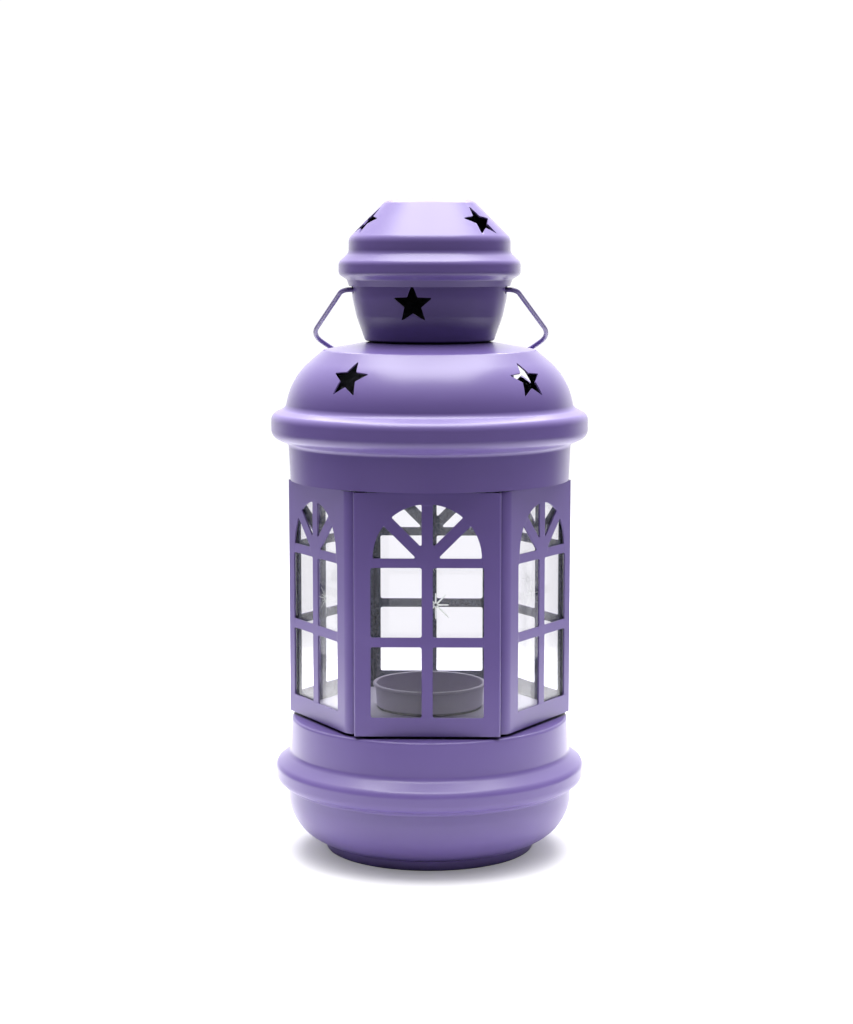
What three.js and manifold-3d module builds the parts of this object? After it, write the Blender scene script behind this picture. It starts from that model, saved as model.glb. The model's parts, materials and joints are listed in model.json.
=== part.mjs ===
// Candle lantern: a sheet-metal lantern for one tealight. A turned base carries the candle cup, a glazed
// hexagonal housing with a domed roof, chimney and cap lifts off it, and a wire bail swings on the chimney.
// Millimetres, +Z up, origin on the resting surface under the lantern's axis. The front panel faces -Y.

import * as THREE from 'three';
import { mergeVertices } from 'three/addons/utils/BufferGeometryUtils.js';
import Module from 'manifold-3d';

const wasm = await Module();
wasm.setup();

// ---- Driving dimensions ----

const SHEET = 0.6; // thickness of all sheet metal
const GAP = 0.3; // clearance between pieces that touch
const TURN_STEPS = 32; // facets round a turned piece
const ARC_STEP = THREE.MathUtils.degToRad(36); // turn of one facet in a rounded corner

const TOTAL_HEIGHT = 233;
const FOOT_RADIUS = 37.5;
const SEAM_HEIGHT = 23.2; // where the base collar laps over the bowl
const LEDGE_HEIGHT = 48.3; // flat top of the base collar
const LEDGE_HOLE_RADIUS = 39.3;
const FLOOR_HEIGHT = 51; // top of the floor inside the housing
const FLOOR_RADIUS = 39;
const CUP_RADIUS = 19; // outside of the candle cup at its base
const CUP_RIM_HEIGHT = 59.8;

const HEX_APOTHEM = 43.92; // outer faces of the six panels
const HEX_CORNER = HEX_APOTHEM / Math.cos(Math.PI / 6);
const PANEL_BOTTOM = 49.3;
const PANEL_TOP = 133.5;
const FRONT_HALF_WIDTH = 25.15; // the flat front and back panels
const FLANGE_DISTANCE = 41.3; // side shells' flanges, behind the front and back panels
const FLANGE_INNER_EDGE = 22;
const BEND_RADIUS = 3.5;

const LIGHT_BOTTOM = 55.8; // lowest edge of the glazed opening
const LOWER_BAR = [80.4, 83.7];
const UPPER_BAR = [107.8, 111];
const MULLION_HALF = 1.9;
const DIAGONAL_HALF = 1.95;
const FRONT_LIGHT_HALF = 19.4;
const SIDE_LIGHT_HALF = 17.3;
const SIDE_LIGHT_SHIFT = 3.86; // side windows sit nearer the lantern's side corners
const LIGHT_CORNER = 0.6;
const PANE_THICKNESS = 1.8;
const PANE_WIDTH = 42;
const SIDE_PANE_SHIFT = 1.6;

const CHIMNEY_BOTTOM = 183.3;
const ROOF_TOP = 183; // where the roof meets the chimney
const NECK_RADIUS = 20.4; // short neck that joins the chimney to the roof

const BAIL_WIRE_RADIUS = 0.85;
const BAIL_PIVOT = { y: -6, z: 201.4 };
const BAIL_REST_ANGLE = THREE.MathUtils.degToRad(29.6); // below the horizontal, towards the rear
const BAIL_HOLE_RADIUS = 1.5;

const STAR_WAIST = 0.46; // inner radius of a star over its tip radius

// ---- Finishes ----

const paintedMetal = (color) => new THREE.MeshStandardMaterial({ color, roughness: 0.38, metalness: 0.35 });
const paint = () => paintedMetal(0x75679c);
const cupPaint = () => paintedMetal(0x6f6680);
const bareMetal = () => new THREE.MeshStandardMaterial({ color: 0x5a6070, roughness: 0.5, metalness: 0.8 });
const glass = () => new THREE.MeshStandardMaterial({ color: 0xeef4f4, roughness: 0.04, metalness: 0 });

// ---- Outlines ----

// Points of a line through corners [x, y, radius], each radius drawn as an arc.
function rounded(corners) {
  return corners.flatMap(([x, y, radius = 0], i) => {
    const corner = new THREE.Vector2(x, y);
    if (radius === 0) return [corner];
    const toLast = new THREE.Vector2(...corners[i - 1]).sub(corner).normalize();
    const toNext = new THREE.Vector2(...corners[i + 1]).sub(corner).normalize();
    const half = Math.acos(toLast.dot(toNext)) / 2;
    const centre = toLast.clone().add(toNext).normalize().multiplyScalar(radius / Math.sin(half)).add(corner);
    const start = toLast.multiplyScalar(radius / Math.tan(half)).add(corner).sub(centre);
    const turn = (Math.PI - 2 * half) * Math.sign(start.cross(corner.clone().sub(centre)));
    const steps = Math.max(1, Math.round(Math.abs(turn) / ARC_STEP));
    return Array.from({ length: steps + 1 }, (_, k) =>
      start.clone().rotateAround(new THREE.Vector2(), (turn * k) / steps).add(centre)
    );
  });
}

// The line moved sideways to its left by a distance, with mitred corners.
function offset(points, distance) {
  const leftOf = (a, b) => new THREE.Vector2(a.y - b.y, b.x - a.x).normalize();
  return points.map((point, i) => {
    const before = leftOf(points[Math.max(i - 1, 0)], points[Math.max(i, 1)]);
    const last = points.length - 1;
    const after = leftOf(points[Math.min(i, last - 1)], points[Math.min(i + 1, last)]);
    const normal = before.clone().add(after).normalize();
    return normal.multiplyScalar(distance / normal.dot(after)).add(point);
  });
}

// ---- Solids ----

// Merges shared vertices and drops the flat triangles that a lathe leaves on its axis.
function closed(geometry) {
  for (const name of ['normal', 'uv']) geometry.deleteAttribute(name);
  const merged = mergeVertices(geometry);
  const kept = [];
  for (let i = 0; i < merged.index.count; i += 3) {
    const [a, b, c] = [0, 1, 2].map((k) => merged.index.getX(i + k));
    if (a !== b && b !== c && c !== a) kept.push(a, b, c);
  }
  merged.setIndex(kept);
  return merged;
}

function solid(geometry) {
  const merged = closed(geometry);
  const vertProperties = new Float32Array(merged.attributes.position.array);
  const triVerts = new Uint32Array(merged.index.array);
  return new wasm.Manifold(new wasm.Mesh({ numProp: 3, vertProperties, triVerts }));
}

function surface(manifold) {
  const { vertProperties, triVerts } = manifold.getMesh();
  const geometry = new THREE.BufferGeometry();
  geometry.setAttribute('position', new THREE.BufferAttribute(vertProperties, 3));
  geometry.setIndex(new THREE.BufferAttribute(triVerts, 1));
  return geometry;
}

const cut = (body, cutters) => surface(cutters.reduce((left, tool) => left.subtract(solid(tool)), solid(body)));
const join = (body, extras) => surface(extras.reduce((left, piece) => left.add(solid(piece)), solid(body)));

// A sheet-metal piece turned about the vertical axis. The outline is its outer face from bottom to top,
// as corners [radius, height, rounding], and the sheet lies inside it.
function turned(corners) {
  const outer = rounded(corners);
  const inner = offset(outer, SHEET).reverse();
  const endsOnAxis = outer[outer.length - 1].x === 0;
  const startsOnAxis = outer[0].x === 0;
  const profile = endsOnAxis ? [...inner, ...outer] : [...outer, ...inner];
  if (!endsOnAxis && !startsOnAxis) profile.push(outer[0]);
  return new THREE.LatheGeometry(profile, TURN_STEPS).rotateX(Math.PI / 2);
}

// A plan outline extruded upwards between two heights.
function prism(outline, bottom, top) {
  const shape = outline instanceof THREE.Shape ? outline : new THREE.Shape(outline);
  return new THREE.ExtrudeGeometry(shape, { depth: top - bottom, bevelEnabled: false }).translate(0, 0, bottom);
}

// A plan section of sheet metal whose outer face follows the corners, with the sheet to their left.
function sheetSection(corners) {
  const outer = rounded(corners);
  return [...outer, ...offset(outer, SHEET).reverse()];
}

// Frame on the lantern's outside: x to the right, y up the surface, z out of it. The azimuth is measured
// from the front towards +X, and the tilt is how far the surface leans back.
function outsideFrame(azimuth, radius, height, tilt = 0) {
  const across = new THREE.Vector3(Math.cos(azimuth), Math.sin(azimuth), 0);
  const radial = new THREE.Vector3(Math.sin(azimuth), -Math.cos(azimuth), 0);
  const up = radial.clone().multiplyScalar(-Math.sin(tilt)).add(new THREE.Vector3(0, 0, Math.cos(tilt)));
  const out = new THREE.Vector3().crossVectors(across, up);
  const place = radial.multiplyScalar(radius).add(new THREE.Vector3(0, 0, height));
  return new THREE.Matrix4().makeBasis(across, up, out).setPosition(place);
}

// Cutting tool of one shape, pushed through the sheet at a frame.
function punch(shape, frame, reach) {
  const tool = new THREE.ExtrudeGeometry(shape, { depth: 2 * reach, bevelEnabled: false, curveSegments: 6 });
  return tool.translate(0, 0, -reach).applyMatrix4(frame);
}

function starShape(tipRadius) {
  const points = Array.from({ length: 10 }, (_, i) => {
    const angle = Math.PI / 2 + (i * Math.PI) / 5;
    const radius = i % 2 ? tipRadius * STAR_WAIST : tipRadius;
    return new THREE.Vector2(radius * Math.cos(angle), radius * Math.sin(angle));
  });
  return new THREE.Shape(points);
}

// Star vents in a turned piece, as cutting tools. Each place is [azimuth in degrees, height].
function starPunches(places, tipRadius, radius, tiltDeg) {
  const reach = 6;
  return places.map(([azimuthDeg, height]) => {
    const azimuth = THREE.MathUtils.degToRad(azimuthDeg);
    return punch(starShape(tipRadius), outsideFrame(azimuth, radius, height, THREE.MathUtils.degToRad(tiltDeg)), reach);
  });
}

// ---- Windows ----

function rectangleLight(left, right, bottom, top) {
  const corners = [[left, bottom], [right, bottom], [right, top], [left, top]];
  const ring = corners.map(([x, y]) => [x, y, LIGHT_CORNER]);
  const looped = [corners[3], ...ring, corners[0]];
  return new THREE.Shape(rounded(looped).slice(1, -1));
}

// Upper side of the fan: one light beside the jamb and one beside the mullion, split by a 45 degree bar.
function fanLights(side, arch) {
  const spring = UPPER_BAR[1];
  const slant = DIAGONAL_HALF * Math.SQRT2;
  const hub = spring - 0.9; // where the slanting bars' centre lines meet
  const outerStart = spring - hub + slant;
  const innerStart = hub + MULLION_HALF + slant;
  const barAngle = (offsetFromBar) => Math.PI / 4 + Math.asin((offsetFromBar - (spring - hub) / Math.SQRT2) / arch);
  const arcPoint = (angle) => new THREE.Vector2(arch * Math.cos(angle), spring + arch * Math.sin(angle));
  const arc = (from, to, steps) =>
    Array.from({ length: steps + 1 }, (_, i) => arcPoint(from + ((to - from) * i) / steps));
  const jambLight = [new THREE.Vector2(outerStart, spring), ...arc(0, barAngle(-DIAGONAL_HALF), 4)];
  const crownLight = [
    new THREE.Vector2(MULLION_HALF, innerStart),
    ...arc(barAngle(DIAGONAL_HALF), Math.acos(MULLION_HALF / arch), 4),
  ];
  return [jambLight, crownLight].map((points) => {
    const sided = points.map((point) => new THREE.Vector2(side * point.x, point.y));
    return new THREE.Shape(sided);
  });
}

// The eight lights of one window: two rows of two rectangles under a four-part fan.
function windowLights(halfWidth) {
  const rows = [[LIGHT_BOTTOM, LOWER_BAR[0]], [LOWER_BAR[1], UPPER_BAR[0]]];
  return [-1, 1].flatMap((side) => [
    ...rows.map(([bottom, top]) => {
      const [left, right] = [side * MULLION_HALF, side * halfWidth].sort((a, b) => a - b);
      return rectangleLight(left, right, bottom, top);
    }),
    ...fanLights(side, halfWidth - 0.8),
  ]);
}

function windowPunches(azimuth, halfWidth, shift) {
  const frame = outsideFrame(azimuth, HEX_APOTHEM, 0);
  frame.multiply(new THREE.Matrix4().makeTranslation(shift, 0, 0));
  return windowLights(halfWidth).map((shape) => punch(shape, frame, 3));
}

// ---- Sub-parts ----

const lantern = new THREE.Group();

function add(name, geometry, material) {
  const mesh = new THREE.Mesh(closed(geometry), material);
  mesh.name = name;
  lantern.add(mesh);
}

// Base: a bowl with a foot ring, closed by a collar that laps over its wall.
function baseBowl() {
  const recess = 1.4; // height of the bottom inside the foot ring
  return turned([
    [0, recess],
    [FOOT_RADIUS - 4, recess],
    [FOOT_RADIUS - 2.6, 0],
    [FOOT_RADIUS, 0, 0.5],
    [FOOT_RADIUS + 0.2, 3.6, 0.8],
    [51.6, 5, 16.5],
    [51.2, SEAM_HEIGHT - 0.5],
    [51.1, SEAM_HEIGHT + 4.8],
  ]);
}

function baseCollar() {
  return turned([
    [52.1, SEAM_HEIGHT],
    [52.3, SEAM_HEIGHT + 1, 0.6],
    [55.7, SEAM_HEIGHT + 2, 3.4],
    [55.7, 31.8, 3.4],
    [50.4, 33.6, 3.2],
    [49.7, LEDGE_HEIGHT, 1],
    [LEDGE_HOLE_RADIUS, LEDGE_HEIGHT],
  ]);
}

// Three radial tongues of the twist lock, each centred on a corner of the hexagon.
function lockTongues(halfWidth, reach, bottom, top) {
  return [90, -30, -150].map((azimuthDeg) => {
    const tongue = [[-halfWidth, 37], [halfWidth, 37], [halfWidth, reach], [-halfWidth, reach]];
    const flat = prism(tongue.map(([x, y]) => new THREE.Vector2(x, -y)), bottom, top);
    return flat.rotateZ(THREE.MathUtils.degToRad(azimuthDeg));
  });
}

const TONGUE_HALF_WIDTH = 5;
const TONGUE_REACH = 41.6;

// Floor pan: a raised disc whose skirt passes through the collar's hole to a flange under the ledge.
function floorPlate() {
  const flangeTop = LEDGE_HEIGHT - SHEET - GAP;
  const pan = turned([
    [FLOOR_RADIUS + 4, flangeTop],
    [FLOOR_RADIUS, flangeTop],
    [FLOOR_RADIUS, FLOOR_HEIGHT],
    [0, FLOOR_HEIGHT],
  ]);
  const tongues = lockTongues(TONGUE_HALF_WIDTH, TONGUE_REACH, FLOOR_HEIGHT - SHEET, FLOOR_HEIGHT);
  return join(pan, tongues);
}

function candleCup() {
  return turned([
    [0, FLOOR_HEIGHT + GAP],
    [CUP_RADIUS, FLOOR_HEIGHT + GAP, 1],
    [CUP_RADIUS + 0.8, CUP_RIM_HEIGHT - 0.8],
    [CUP_RADIUS + 1.4, CUP_RIM_HEIGHT - 0.2],
  ]);
}

// Housing floor: a hexagonal ring with a round hole for the floor pan, notched for the lock's tongues.
function bottomRing() {
  const inside = HEX_APOTHEM - SHEET - GAP;
  const sideCorner = inside / Math.cos(Math.PI / 6);
  const flangeEdge = FLANGE_DISTANCE - SHEET - GAP;
  const bendX = (inside - flangeEdge * Math.sin(Math.PI / 6)) / Math.cos(Math.PI / 6);
  const tongueX = FLANGE_INNER_EDGE - GAP;
  const quarter = [
    [sideCorner, 0],
    [bendX, flangeEdge, BEND_RADIUS],
    [tongueX, flangeEdge],
    [tongueX, inside],
  ];
  const half = rounded([...quarter, ...quarter.map(([x, y, r]) => [-x, y, r]).reverse()]);
  const whole = [...half, ...half.slice(1, -1).reverse().map((point) => new THREE.Vector2(point.x, -point.y))];
  const bottom = PANEL_BOTTOM + 0.2;
  const top = bottom + SHEET;
  const hole = prism(new THREE.Shape().absarc(0, 0, FLOOR_RADIUS + 0.4, 0, 2 * Math.PI), bottom - 1, top + 1);
  const notches = lockTongues(TONGUE_HALF_WIDTH + 0.7, TONGUE_REACH + 0.6, bottom - 1, top + 1);
  return cut(prism(whole, bottom, top), [hole, ...notches]);
}

// One bent sheet makes the two panels on a side, with a flange at each end behind the flat panels.
function sideShell(side) {
  const bendX = (HEX_APOTHEM - FLANGE_DISTANCE * Math.sin(Math.PI / 6)) / Math.cos(Math.PI / 6);
  const section = sheetSection([
    [FLANGE_INNER_EDGE, -FLANGE_DISTANCE],
    [bendX, -FLANGE_DISTANCE, BEND_RADIUS],
    [HEX_CORNER, 0],
    [bendX, FLANGE_DISTANCE, BEND_RADIUS],
    [FLANGE_INNER_EDGE, FLANGE_DISTANCE],
  ]);
  const windows = [60, 120].flatMap((azimuthDeg) => {
    const shift = azimuthDeg < 90 ? SIDE_LIGHT_SHIFT : -SIDE_LIGHT_SHIFT;
    return windowPunches(THREE.MathUtils.degToRad(azimuthDeg), SIDE_LIGHT_HALF, shift);
  });
  return cut(prism(section, PANEL_BOTTOM, PANEL_TOP), windows).rotateZ(side > 0 ? 0 : Math.PI);
}

// A flat panel whose side edges turn back to the side shells' flanges.
function flatPanel(azimuth) {
  const returnEnd = FLANGE_DISTANCE + GAP;
  const section = sheetSection([
    [-FRONT_HALF_WIDTH, -returnEnd],
    [-FRONT_HALF_WIDTH, -HEX_APOTHEM, 0.8],
    [FRONT_HALF_WIDTH, -HEX_APOTHEM, 0.8],
    [FRONT_HALF_WIDTH, -returnEnd],
  ]);
  const windows = windowPunches(0, FRONT_LIGHT_HALF, 0);
  return cut(prism(section, PANEL_BOTTOM, PANEL_TOP), windows).rotateZ(azimuth);
}

const PANE_BOTTOM = PANEL_BOTTOM + 0.2 + SHEET + GAP;
const PANE_TOP = PANEL_TOP - 0.5;
const PANE_OUTER = HEX_APOTHEM - SHEET - GAP;

function pane(azimuth, shift) {
  const height = PANE_TOP - PANE_BOTTOM;
  const plate = new THREE.BoxGeometry(PANE_WIDTH, height, PANE_THICKNESS);
  const middle = (PANE_TOP + PANE_BOTTOM) / 2;
  plate.translate(shift, 0, 0);
  return plate.applyMatrix4(outsideFrame(azimuth, PANE_OUTER - PANE_THICKNESS / 2, middle));
}

// An angle strip up an inside corner, behind the edges of the two panes that meet there.
function glazingStrip(azimuthDeg) {
  const leg = 4.2;
  const behindPane = PANE_OUTER - PANE_THICKNESS - GAP;
  const behindFlange = FLANGE_DISTANCE - SHEET - GAP;
  const atSideCorner = Math.abs(azimuthDeg) === 90;
  const faces = [-30, 30].map((turn) => {
    const azimuth = THREE.MathUtils.degToRad(azimuthDeg + turn);
    const facesFlatPanel = Math.abs(Math.sin(azimuth)) < 0.1;
    return { azimuth, distance: facesFlatPanel && !atSideCorner ? behindFlange : behindPane };
  });
  const [first, second] = faces.map(({ azimuth, distance }) => ({
    out: new THREE.Vector2(Math.sin(azimuth), -Math.cos(azimuth)),
    along: new THREE.Vector2(Math.cos(azimuth), Math.sin(azimuth)),
    distance,
  }));
  const sine = first.out.cross(second.out);
  const corner = new THREE.Vector2(
    (first.distance * second.out.y - second.distance * first.out.y) / sine,
    (second.distance * first.out.x - first.distance * second.out.x) / sine
  );
  const start = corner.clone().addScaledVector(first.along, -leg);
  const end = corner.clone().addScaledVector(second.along, leg);
  const section = sheetSection([start, corner, end].map((point) => [point.x, point.y]));
  return prism(section, PANE_BOTTOM, PANE_TOP);
}

// Ring that joins the panels' tops to the roof, with a rim turned up inside the roof's collar.
function topRing() {
  const rim = 48.5;
  const bottom = PANEL_TOP + GAP;
  return turned([
    [36, bottom],
    [rim, bottom],
    [rim, bottom + 5],
  ]);
}

function roofDome() {
  const shell = turned([
    [49.8, 134],
    [50.4, 147, 2],
    [56.5, 149.6, 3.8],
    [56.5, 157.7, 3.4],
    [51.3, 159, 3.4],
    [49.4, 170.2, 24.5],
    [37.7, 180.1, 2],
    [NECK_RADIUS + SHEET + GAP, ROOF_TOP],
  ]);
  return cut(shell, starPunches([[-35.4, 171.8], [47, 170.9], [136, 171.8], [-118, 171.8]], 7.4, 46.3, 35));
}

// Tapering chimney on a short neck that passes through the roof and is spread out beneath it.
function chimney() {
  const spread = ROOF_TOP - SHEET - GAP;
  const shell = turned([
    [NECK_RADIUS + 3, spread - 0.5],
    [NECK_RADIUS + SHEET, spread],
    [NECK_RADIUS + SHEET, CHIMNEY_BOTTOM],
    [22.9, CHIMNEY_BOTTOM, 1],
    [26, 192, 10],
    [27.5, 199, 15],
    [27.9, 205],
  ]);
  const stars = starPunches([[-11.6, 196.6], [108.4, 196.6], [-131.6, 196.6]], 6.9, 26.8, -10);
  const hole = new THREE.CylinderGeometry(BAIL_HOLE_RADIUS, BAIL_HOLE_RADIUS, 80, 12);
  hole.rotateZ(Math.PI / 2).translate(0, BAIL_PIVOT.y, BAIL_PIVOT.z);
  return cut(shell, [...stars, hole]);
}

function chimneyCap() {
  const shell = turned([
    [28.6, 202.6],
    [29.4, 205, 1],
    [32.3, 206.7, 2.2],
    [32.3, 210.2, 2.4],
    [28.7, 213, 2.5],
    [28.7, 219.4, 3.5],
    [15.1, TOTAL_HEIGHT, 5],
    [0, TOTAL_HEIGHT],
  ]);
  return cut(shell, starPunches([[-73.5, 225.1], [51.8, 225.1], [170, 225.1]], 7, 22.8, 45));
}

// A path through given points, one section of the sweep at each point.
class WirePath extends THREE.Curve {
  constructor(points) {
    super();
    this.points = points;
  }

  getPoint(t) {
    const along = t * (this.points.length - 1);
    const index = Math.min(Math.floor(along), this.points.length - 2);
    return this.points[index].clone().lerp(this.points[index + 1], along - index);
  }

  getUtoTmapping(u) {
    return u;
  }
}

// Wire bail: each end hooks through a hole in the chimney, and the loop narrows to a crook at its middle.
// Corners are [across, distance from the pivot line, rounding].
function bail() {
  const half = [
    [24, -2.9],
    [24, 0, 1.2],
    [30.7, 0, 4],
    [43.6, 34.5, 9],
    [36.4, 46.2, 10],
  ];
  const crook = [0, 72.5, 6];
  const mirrored = half.map(([x, d, r]) => [-x, d, r]).reverse();
  const flat = rounded([...half, crook, ...mirrored]);
  const reach = Math.cos(BAIL_REST_ANGLE);
  const drop = Math.sin(BAIL_REST_ANGLE);
  const points = flat.map((p) => new THREE.Vector3(p.x, BAIL_PIVOT.y + p.y * reach, BAIL_PIVOT.z - p.y * drop));
  const section = new THREE.Shape(
    Array.from({ length: 8 }, (_, i) => {
      const angle = ((i + 0.5) * Math.PI) / 4;
      return new THREE.Vector2(BAIL_WIRE_RADIUS * Math.cos(angle), BAIL_WIRE_RADIUS * Math.sin(angle));
    })
  );
  const path = new WirePath(points);
  return new THREE.ExtrudeGeometry(section, { steps: points.length - 1, extrudePath: path, bevelEnabled: false });
}

// ---- Assembly ----

add('base_bowl', baseBowl(), paint());
add('base_collar', baseCollar(), paint());
add('floor_plate', floorPlate(), cupPaint());
add('candle_cup', candleCup(), cupPaint());
add('bottom_ring', bottomRing(), bareMetal());
add('side_shell_right', sideShell(1), paint());
add('side_shell_left', sideShell(-1), paint());
add('front_panel', flatPanel(0), paint());
add('back_panel', flatPanel(Math.PI), paint());

const PANES = [
  ['pane_front', 0, 0],
  ['pane_front_right', 60, SIDE_PANE_SHIFT],
  ['pane_back_right', 120, -SIDE_PANE_SHIFT],
  ['pane_back', 180, 0],
  ['pane_back_left', -120, SIDE_PANE_SHIFT],
  ['pane_front_left', -60, -SIDE_PANE_SHIFT],
];
for (const [name, azimuthDeg, shift] of PANES) {
  add(name, pane(THREE.MathUtils.degToRad(azimuthDeg), shift), glass());
}

const STRIPS = [
  ['glazing_strip_front_left', -30],
  ['glazing_strip_front_right', 30],
  ['glazing_strip_right', 90],
  ['glazing_strip_back_right', 150],
  ['glazing_strip_back_left', -150],
  ['glazing_strip_left', -90],
];
for (const [name, azimuthDeg] of STRIPS) add(name, glazingStrip(azimuthDeg), bareMetal());

add('top_ring', topRing(), bareMetal());
add('roof_dome', roofDome(), paint());
add('chimney', chimney(), paint());
add('chimney_cap', chimneyCap(), paint());
add('bail_handle', bail(), paint());

export default lantern;
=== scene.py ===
"""Candle lantern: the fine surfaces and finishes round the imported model, and the studio that it stands in.

Outlines are in millimetres, and heights on a turned piece count up from that piece's own lowest edge.
"""

import json
import math

import bmesh
import bpy
from mathutils import Matrix, Vector


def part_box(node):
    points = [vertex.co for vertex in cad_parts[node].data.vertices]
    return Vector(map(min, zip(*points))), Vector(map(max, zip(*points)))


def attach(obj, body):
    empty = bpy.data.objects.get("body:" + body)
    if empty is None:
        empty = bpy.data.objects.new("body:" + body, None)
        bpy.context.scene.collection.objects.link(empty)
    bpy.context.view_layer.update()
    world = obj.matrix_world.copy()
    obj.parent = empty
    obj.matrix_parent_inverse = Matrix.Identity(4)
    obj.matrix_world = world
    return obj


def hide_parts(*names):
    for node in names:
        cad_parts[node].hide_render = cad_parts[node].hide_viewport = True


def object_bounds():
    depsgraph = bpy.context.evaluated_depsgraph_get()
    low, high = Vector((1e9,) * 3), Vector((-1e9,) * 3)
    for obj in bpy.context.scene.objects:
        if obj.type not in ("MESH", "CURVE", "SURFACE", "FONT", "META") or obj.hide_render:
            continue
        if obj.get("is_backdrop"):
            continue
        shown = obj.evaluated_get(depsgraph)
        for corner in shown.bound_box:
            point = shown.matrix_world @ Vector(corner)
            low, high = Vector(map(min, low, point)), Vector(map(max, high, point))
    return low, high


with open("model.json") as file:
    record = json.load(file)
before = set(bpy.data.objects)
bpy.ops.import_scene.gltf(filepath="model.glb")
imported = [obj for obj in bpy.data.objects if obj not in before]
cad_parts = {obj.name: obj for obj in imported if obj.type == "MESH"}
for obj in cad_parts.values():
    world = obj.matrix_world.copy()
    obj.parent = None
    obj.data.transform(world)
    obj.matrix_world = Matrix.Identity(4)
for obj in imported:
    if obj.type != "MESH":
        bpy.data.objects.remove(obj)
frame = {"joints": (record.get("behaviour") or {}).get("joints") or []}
cad_low, cad_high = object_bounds()

# ---- Driving dimensions, in millimetres unless they say otherwise ----

MM = 0.001
SHEET = 0.6  # thickness of all sheet metal
GAP = 0.3  # clearance between neighbours
EDGE = 0.13  # rounding of a cut sheet edge
TURN_STEPS = 192  # facets round a turned piece
ARC_STEP = math.radians(6)  # turn of one facet in a rounded corner


def size_of(node):
    """A CAD node's lowest and highest corners in millimetres."""
    return [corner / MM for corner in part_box(node)]


joints = {joint["name"]: joint for joint in frame["joints"]}
pivot = Vector(joints["bail_swing"]["pos_m"]) / MM

panel_low, panel_high = size_of("front_panel")
PANEL_BOTTOM = panel_low.z
PANEL_TOP = panel_high.z
APOTHEM = -panel_low.y  # outer faces of the six panels
FRONT_HALF = panel_high.x
HEX_CORNER = APOTHEM / math.cos(math.pi / 6)
FLANGE_DISTANCE = size_of("side_shell_right")[1].y  # side shells' flanges behind the flat panels
FLANGE_EDGE = size_of("side_shell_right")[0].x
GROOVE_DEPTH = 1.2  # how far the side shells dip beside the flat panels
GROOVE_STEPS = (1.3, 2.5)  # start and end of the dip, from the flange's edge
SOFT_BEND = 4.5  # outer radius beside the flat panels
SHARP_BEND = 0.9  # outer radius at the lantern's side corners
RING_BEND = 3.5  # the bottom ring's corner inside the soft bend

LIGHT_BOTTOM = PANEL_BOTTOM + 6.5  # lowest edge of the glazed opening
LOWER_BAR = (PANEL_BOTTOM + 31.1, PANEL_BOTTOM + 34.4)
UPPER_BAR = (PANEL_BOTTOM + 58.5, PANEL_BOTTOM + 61.7)
MULLION_HALF = 1.9
DIAGONAL_HALF = 1.95
FRONT_LIGHT_HALF = 19.4
SIDE_LIGHT_HALF = 17.3
SIDE_LIGHT_SHIFT = 3.86  # side windows sit nearer the lantern's side corners
LIGHT_CORNER = 0.75

PANE_THICKNESS = 1.8
PANE_OUTER = APOTHEM - SHEET - GAP
SIDE_PANE_SHIFT = 1.6
SIDE_PANE_TRIM = 0.8  # taken off the side panes' edges behind the groove

FLOOR_RADIUS = 39
WIRE_RADIUS = 0.85
BAIL_REST_ANGLE = math.radians(29.6)  # below the horizontal, towards the rear
BAIL_HOLE_RADIUS = 1.5

STAR_WAIST = 0.46  # inner radius of a star over its tip radius
STAR_TIP_SPARE = 0.45  # length that the easing takes off each point
STAR_EASE = 0.3
PUNCH_DEPTH = 6  # cut to both sides of the sheet

OUTSIDE, INSIDE, CUT_EDGE = 0, 1, 2  # material slots of a sheet-metal piece
CLEAR, FROSTED = 0, 1  # material slots of a pane

# ---- Outlines ----


def turn_of(a, b):
    return a.x * b.y - a.y * b.x


def rounded(corners, step=ARC_STEP):
    """Points of a line through corners (x, y, radius), each radius drawn as an arc."""
    points = []
    for i, (x, y, *rounding) in enumerate(corners):
        corner = Vector((x, y))
        if not rounding:
            points.append(corner)
            continue
        to_last = (Vector(corners[i - 1][:2]) - corner).normalized()
        to_next = (Vector(corners[i + 1][:2]) - corner).normalized()
        half = to_last.angle(to_next) / 2
        centre = corner + (to_last + to_next).normalized() * (rounding[0] / math.sin(half))
        start = corner + to_last * (rounding[0] / math.tan(half)) - centre
        turn = math.copysign(math.pi - 2 * half, turn_of(start, corner - centre))
        steps = max(2, round(abs(turn) / step))
        points += [centre + Matrix.Rotation(turn * k / steps, 2) @ start for k in range(steps + 1)]
    return points


def looped(corners, step=ARC_STEP):
    """A closed outline whose corners are all rounded."""
    return rounded([corners[-1][:2], *corners, corners[0][:2]], step)[1:-1]


def offset(points, distance):
    """The line moved sideways to its left by a distance, with mitred corners."""
    moved = []
    last = len(points) - 1
    for i, point in enumerate(points):
        before = points[max(i, 1)] - points[max(i - 1, 0)]
        after = points[min(i + 1, last)] - points[min(i, last - 1)]
        normals = [Vector((-d.y, d.x)).normalized() for d in (before, after)]
        normal = (normals[0] + normals[1]).normalized()
        moved.append(point + normal * (distance / normal.dot(normals[1])))
    return moved


def circle(radius, steps):
    angles = [2 * math.pi * i / steps for i in range(steps)]
    return [Vector((radius * math.cos(a), radius * math.sin(a))) for a in angles]


# ---- Meshes ----


def outside_frame(azimuth, radius, height=0, tilt=0):
    """Frame on the lantern's outside: x to the right, y up the surface, z out of it. The azimuth is
    measured from the front towards +X, and the tilt is how far the surface leans back."""
    across = Vector((math.cos(azimuth), math.sin(azimuth), 0))
    radial = Vector((math.sin(azimuth), -math.cos(azimuth), 0))
    up = Vector((0, 0, math.cos(tilt))) - radial * math.sin(tilt)
    place = radial * radius + Vector((0, 0, height))
    frame_matrix = Matrix((across, up, across.cross(up))).transposed().to_4x4()
    frame_matrix.translation = place
    return frame_matrix


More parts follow.
